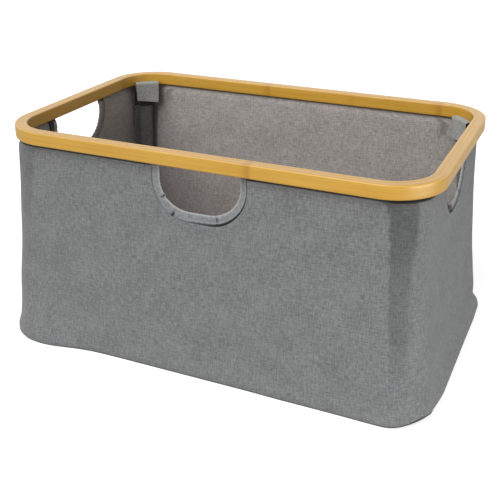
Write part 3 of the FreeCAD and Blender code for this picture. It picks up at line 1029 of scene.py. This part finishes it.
def make_hole_stitches(wall):
    """The row of stitches that holds a facing, just outside the hand hole's edge."""
    path = hole_path(wall, 0.0042, 0.0016)
    path = path[path[:, 1] < WALL_TOP - 0.004]
    s, v = to_strip(wall, path[:, 0], path[:, 1])
    spots = wall_point(s, v, -0.0001)
    normals = wall_normal(s, v)
    starts = spots[:-1:2]
    ends = spots[1::2][: len(starts)]
    starts = starts[: len(ends)]
    row = stitches(wall + "_hole_stitches", starts, ends, normals[: 2 * len(starts) : 2], 0.00028, THREAD)
    folds_with_rim(row)


# The rounded edge of the cloth over the board, as (inset, height), up to where its top begins.
COVER_EDGE = ((0.0075, 0.0035), (0.0058, 0.0040), (0.0049, 0.0050), (0.0050, 0.0062), (0.0062, 0.0069))
COVER_TOP_INSET = 0.010


def make_board_cover():
    """Cloth over the base board: a flat, soft-edged pad that meets the walls."""
    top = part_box("board_cover")[1].z
    half_x, half_y, radius = (float(a) for a in wall_profile(np.array(0.008)))
    rows = []
    points, normals, lengths = rounded_rectangle(half_x, half_y, radius, 0.006)
    for inset, z in (*COVER_EDGE, (COVER_TOP_INSET, top)):
        rows.append(np.column_stack([points - normals * inset, np.full(len(points), z)]))
    edge = rows[-1]
    for share in np.linspace(0, 1, 30)[1:]:
        ring = edge.copy()
        ring[:, :2] *= 1 - 0.9997 * share
        wave = np.sin(ring[:, 0] * 23 + 1.3) * np.sin(ring[:, 1] * 29 + 0.4)
        ring[:, 2] = top + 0.0004 * wave * smooth(share * 4) - 0.0002
        rows.append(ring)
    rows = np.array(rows).transpose(1, 0, 2)
    across = np.concatenate([[0.0], np.cumsum(np.linalg.norm(np.diff(rows[0], axis=0), axis=1))])
    cover = grid_mesh("board_cloth", rows, lengths, across, [BOARD_LIT_CLOTH], close_along=True)
    planar_uv(cover)
    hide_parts("board_cover")
    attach(cover, "base")
    return cover


def planar_uv(piece):
    """Lays the UVs of a flat panel out in plan."""
    mesh = piece.data
    spots = np.zeros(len(mesh.vertices) * 3, np.float32)
    mesh.vertices.foreach_get("co", spots)
    index = np.zeros(len(mesh.loops), np.int32)
    mesh.loops.foreach_get("vertex_index", index)
    mesh.uv_layers["UVMap"].data.foreach_set("uv", spots.reshape(-1, 3)[index, :2].ravel())


# ================================================================ corners
TAB_HALF = 0.0177
TAB_THICK = 0.0011
TAB_CURVE = 1 / 0.060
# Degrees by which some tabs sit off the corner's middle.
TAB_TURN = {"back_left": -2.5, "back_right": -3.0, "front_left": 6.0}
TAB_SLANT = {"back_left": 0.0026}


def corner_axes(name, turn=0.0):
    """A corner's centre, and its outward and tangent directions, turned by a few degrees."""
    side_x, side_y = CORNERS[name]
    angle = math.atan2(side_y, side_x) + math.radians(turn)
    out = np.array([math.cos(angle), math.sin(angle), 0.0])
    tangent = np.array([-math.sin(angle), math.cos(angle), 0.0])
    return np.array([side_x * CORNER_X, side_y * CORNER_Y, 0.0]), out, tangent


def arc_points(centre, radius, first, last, count):
    """Points of an arc in a corner's (radius, height) plane."""
    angles = np.radians(np.linspace(first, last, count))
    return [(centre[0] + radius * math.cos(a), centre[1] + radius * math.sin(a)) for a in angles]


def tab_path():
    """The tab's middle line: up the rim's inner face, over the stay's end and down in front of the sleeve."""
    back = 0.0469
    front = 0.0374
    top = 0.2808
    low = 0.2508
    bend = 0.0030
    path = [(0.0505, 0.2736), (0.0490, 0.2737)]
    path += arc_points((back + 0.0012, 0.2749), 0.0012, 270, 180, 4)
    path += [(back, z) for z in np.linspace(0.2758, top - bend, 3)]
    path += arc_points((back - bend, top - bend), bend, 0, 90, 7)[1:]
    path += [(back - bend - 0.0012, top + 0.0001)]
    path += arc_points((front + bend, top - bend), bend, 90, 180, 7)
    hanging = np.linspace(top - bend - 0.0015, low, 20)
    path += [(front + 0.0003 * math.sin((top - z) * 150), z) for z in hanging]
    return np.array(path)


def make_tab(name, seed):
    """A doubled flap of webbing cloth with turned, stitched edges, sewn under the rim."""
    random_source = random.Random(seed)
    centre, out, tangent = corner_axes(name, TAB_TURN.get(name, 0.0))
    path = tab_path()
    ahead = np.gradient(path, axis=0)
    ahead /= np.linalg.norm(ahead, axis=1, keepdims=True)
    normal = np.stack([ahead[:, 1], -ahead[:, 0]], -1)
    shares = np.linspace(-1, 1, 25)
    hemmed = 1 + 0.45 * (np.abs(np.abs(shares) - 0.90) < 0.07)
    half = 0.5 * TAB_THICK * hemmed * np.sqrt(np.clip(1.02 - shares**8, 0.05, 1))
    length = np.concatenate([[0.0], np.cumsum(np.linalg.norm(np.diff(path, axis=0), axis=1))])
    droop = length / length[-1]
    lean = random_source.uniform(-0.0008, 0.0008)
    phase = random_source.uniform(0, 6.28)
    rows = []
    hem = 1 + 0.5 * bump(length, length[-1] - 0.0025, 0.0018)
    for sign in (1, -1):
        side = []
        for share, thick in zip(shares, half):
            across = share * TAB_HALF * (1 - 0.05 * droop**2) + lean * droop
            ripple = 0.00035 * np.sin(share * 5 + phase + droop * 7) * droop
            radial = path[:, 0] - 0.5 * TAB_CURVE * (share * TAB_HALF) ** 2 * (1 - 0.6 * droop)
            shift = sign * thick * hem
            point = (
                centre[None, :]
                + out[None, :] * (radial + normal[:, 0] * shift + ripple)[:, None]
                + tangent[None, :] * np.broadcast_to(across, radial.shape)[:, None]
            )
            point[:, 2] = path[:, 1] + normal[:, 1] * shift + TAB_SLANT.get(name, -0.0006) * share * droop**2
            side.append(point)
        rows.append(side if sign == 1 else side[::-1])
    rows = np.array(rows[0] + rows[1]).transpose(1, 0, 2)
    across = np.concatenate([shares * TAB_HALF, shares[::-1] * TAB_HALF, [-TAB_HALF]])
    tab = grid_mesh(
        name + "_flap", rows, length, across, [TAB_CLOTH], close_across=True, caps=True, sharp_degrees=60
    )
    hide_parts(name + "_tab")
    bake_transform(tab)
    make_tab_stitches(name, rows, len(shares))
    return tab, length[-1]


def make_tab_stitches(name, rows, columns):
    """Stitches along both sides and the lower hem of a tab's front."""
    out = corner_axes(name, TAB_TURN.get(name, 0.0))[1]
    starts = []
    ends = []
    front = range(len(rows) - 19, len(rows) - 3)
    for column in (3, columns - 4):
        for k in front:
            starts.append(rows[k, column] - out * 0.0001)
            ends.append(rows[k, column] * 0.25 + rows[k + 1, column] * 0.75 - out * 0.0001)
    low = rows[-4]
    for column in range(3, columns - 4):
        starts.append(low[column] - out * 0.0002)
        ends.append(low[column] * 0.2 + low[column + 1] * 0.8 - out * 0.0002)
    row = stitches(name + "_tab_stitches", starts, ends, [-out] * len(starts), 0.00026, THREAD)
    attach(row, name + "_tab_body")


def stay_axes(name):
    """The foot of a stay's middle line, and its normal, tangent and length directions."""
    centre, out, tangent = corner_axes(name)
    foot_radius, top_radius = 0.0715, 0.0424
    foot_z, top_z = 0.0082, 0.279
    foot = centre + out * foot_radius + np.array([0, 0, foot_z])
    along = centre + out * top_radius + np.array([0, 0, top_z]) - foot
    along /= np.linalg.norm(along)
    return foot, np.cross(tangent, along), tangent, along


def sleeve_section():
    """A sleeve's section as (normal, tangent): flanges, stitched steps and a channel over the stay."""
    half = [(0.0028, -0.0170), (0.0026, -0.0140), (0.0024, -0.0124), (0.0010, -0.0116), (-0.0012, -0.0112)]
    half += [(-0.0028, -0.0103), (-0.0036, -0.0086), (-0.0039, -0.0050), (-0.0040, 0.0)]
    front = half + [(x, -y) for x, y in half[-2::-1]]
    return np.array(front + [(0.0038, 0.0170), (0.0038, 0.0), (0.0038, -0.0170)])


def make_sleeve(name, seed):
    """A dark cloth channel over the stay, with faint folds and a turned hem at the top."""
    random_source = random.Random(seed)
    foot, normal, tangent, along = stay_axes(name)
    section = sleeve_section()
    hem_heights = [0.2356, 0.2362, 0.2420, 0.2480, 0.2540, 0.2555, 0.2575, 0.2590]
    heights = np.concatenate([np.linspace(0.0040, 0.2340, 58), hem_heights])
    phases = [random_source.uniform(0, 6.28) for _ in range(3)]
    rows = []
    for h in heights:
        hem = 0.0004 * (0.2480 < h < 0.2580)
        pull = 1 + 0.010 * math.sin(h * 55 + phases[0])
        ripple = 0.00035 * np.sin(section[:, 1] * 420 + phases[1] + 2.2 * math.sin(h * 17 + phases[2]))
        ripple = ripple * (section[:, 0] < 0.003)
        x = section[:, 0] - hem * (section[:, 0] < 0.003) + ripple
        y = section[:, 1] * pull
        rows.append(foot + normal * x[:, None] + tangent * y[:, None] + along * h)
    rows = np.array(rows)
    # Painted shade in the channel's two side hollows.
    left_hollow = bump(section[:, 1], -0.0112, 0.0022)
    right_hollow = bump(section[:, 1], 0.0112, 0.0014)
    hollows = np.where(section[:, 0] < 0.003, np.maximum(0.72 * left_hollow, 0.62 * right_hollow), 0.0)
    around = np.concatenate([[0.0], np.cumsum(np.linalg.norm(np.diff(section, axis=0), axis=1)), [0.07]])
    sleeve = grid_mesh(
        name + "_channel",
        rows,
        heights,
        around,
        [SLEEVE_CLOTH],
        close_across=True,
        caps=True,
        sharp_degrees=55,
    )
    dark_top = 0.96 * (heights > 0.2360)
    add_attribute(sleeve, "shade", np.maximum(dark_top[:, None], hollows[None, :]).ravel())
    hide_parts(name + "_sleeve")
    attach(sleeve, name + "_stay_body")
    starts = []
    ends = []
    for h in np.arange(0.010, 0.244, 0.0042):
        for side in (-1, 1):
            spot = foot + normal * 0.0024 + tangent * side * 0.0138 + along * h
            starts.append(spot)
            ends.append(spot + along * 0.0030)
    row = stitches(name + "_sleeve_stitches", starts, ends, [-normal] * len(starts), 0.00028, DARK_THREAD)
    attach(row, name + "_stay_body")


def finish_cad_nodes():
    """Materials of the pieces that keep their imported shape."""
    painted_highlight_and_finishes = {"hem_band": WEBBING, "hem_staples": STEEL, "base_board": BOARD}
    for name in CORNERS:
        painted_highlight_and_finishes[name + "_stay"] = SLAT
        painted_highlight_and_finishes[name + "_stay_caps"] = PLASTIC
        painted_highlight_and_finishes[name + "_hook_patch"] = PILE
        painted_highlight_and_finishes[name + "_loop_patch"] = PILE
    for node, material in painted_highlight_and_finishes.items():
        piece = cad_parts[node]
        piece.data.materials.clear()
        piece.data.materials.append(material)


# ================================================================ stage
def area_light(name, place, target, size, power):
    """A soft panel aimed at a point."""
    data = bpy.data.lights.new(name, "AREA")
    data.shape = "RECTANGLE"
    data.size, data.size_y = size
    data.energy = power
    light = bpy.data.objects.new(name, data)
    light.location = place
    light.visible_camera = False
    light.rotation_euler = (Vector(target) - Vector(place)).to_track_quat("-Z", "Y").to_euler()
    bpy.context.scene.collection.objects.link(light)


def sun_light(name, azimuth, elevation, softness, power):
    """A distant soft light from a direction in degrees; azimuth 0 is in front, positive to the right."""
    data = bpy.data.lights.new(name, "SUN")
    data.energy = power
    data.angle = math.radians(softness)
    light = bpy.data.objects.new(name, data)
    turn = math.radians(azimuth)
    rise = math.radians(elevation)
    towards = Vector((math.sin(turn) * math.cos(rise), -math.cos(turn) * math.cos(rise), math.sin(rise)))
    light.rotation_euler = towards.to_track_quat("Z", "Y").to_euler()
    bpy.context.scene.collection.objects.link(light)


def make_stage():
    """A pale floor, a pale surround and soft studio light."""
    reach = 8.0
    mesh = bpy.data.meshes.new("floor")
    square = [(-reach, -reach, 0), (reach, -reach, 0), (reach, reach, 0), (-reach, reach, 0)]
    mesh.from_pydata(square, [], [(0, 1, 2, 3)])
    floor = bpy.data.objects.new("floor", mesh)
    bpy.context.scene.collection.objects.link(floor)
    material, tree, shader = new_material("floor", 0.95)
    shader.inputs["Base Color"].default_value = (0.50, 0.50, 0.50, 1.0)
    shader.inputs["Emission Color"].default_value = (1.0, 1.0, 1.0, 1.0)
    seen = wire(tree, "ShaderNodeLightPath").outputs["Is Camera Ray"]
    tree.links.new(math_node(tree, "MULTIPLY", seen, 0.72), shader.inputs["Emission Strength"])
    mesh.materials.append(material)
    world = bpy.data.worlds.new("studio")
    bpy.context.scene.world = world
    world.use_nodes = True
    tree = world.node_tree
    background = tree.nodes["Background"]
    path = tree.nodes.new("ShaderNodeLightPath")
    strength = tree.nodes.new("ShaderNodeMapRange")
    strength.inputs["To Min"].default_value = 1.20
    strength.inputs["To Max"].default_value = 0.34
    tree.links.new(path.outputs["Is Diffuse Ray"], strength.inputs["Value"])
    tree.links.new(strength.outputs[0], background.inputs["Strength"])
    background.inputs["Color"].default_value = (1.0, 1.0, 1.0, 1.0)
    sun_light("key", -15, 44, 50, 2.6)
    area_light("right_fill", (1.25, -0.35, 0.12), (0.25, -0.05, 0.17), (0.9, 0.22), 5.3)


def make_camera():
    """The camera: in front, to the right and above, aimed a little past the basket's middle."""
    azimuth = math.radians(24.03)
    elevation = math.radians(21.98)
    back = Vector((
        math.sin(azimuth) * math.cos(elevation),
        -math.cos(azimuth) * math.cos(elevation),
        math.sin(elevation),
    ))
    data = bpy.data.cameras.new("camera")
    data.lens = 61.1
    data.sensor_width = 36.0
    data.shift_y = -0.10
    camera = bpy.data.objects.new("camera", data)
    camera.location = Vector((-0.0318, 0.0621, 0.146)) + back * 1.2304
    camera.rotation_euler = (-back).to_track_quat("-Z", "Y").to_euler()
    bpy.context.scene.collection.objects.link(camera)
    bpy.context.scene.camera = camera
    bpy.context.scene.view_settings.view_transform = "Standard"


# ================================================================ build
make_stage()
make_camera()
make_rim()
walls = make_walls()
bottom = make_bottom()
make_seam()
cover = make_board_cover()
for wall, place in (("front", "front"), ("left", "left_end"), ("right", "right_end")):
    make_facing(wall, place + "_hole_facing")
    make_hole_stitches(wall)
for number, corner in enumerate(CORNERS):
    make_tab(corner, 40 + number)
    make_sleeve(corner, 60 + number)
finish_cad_nodes()
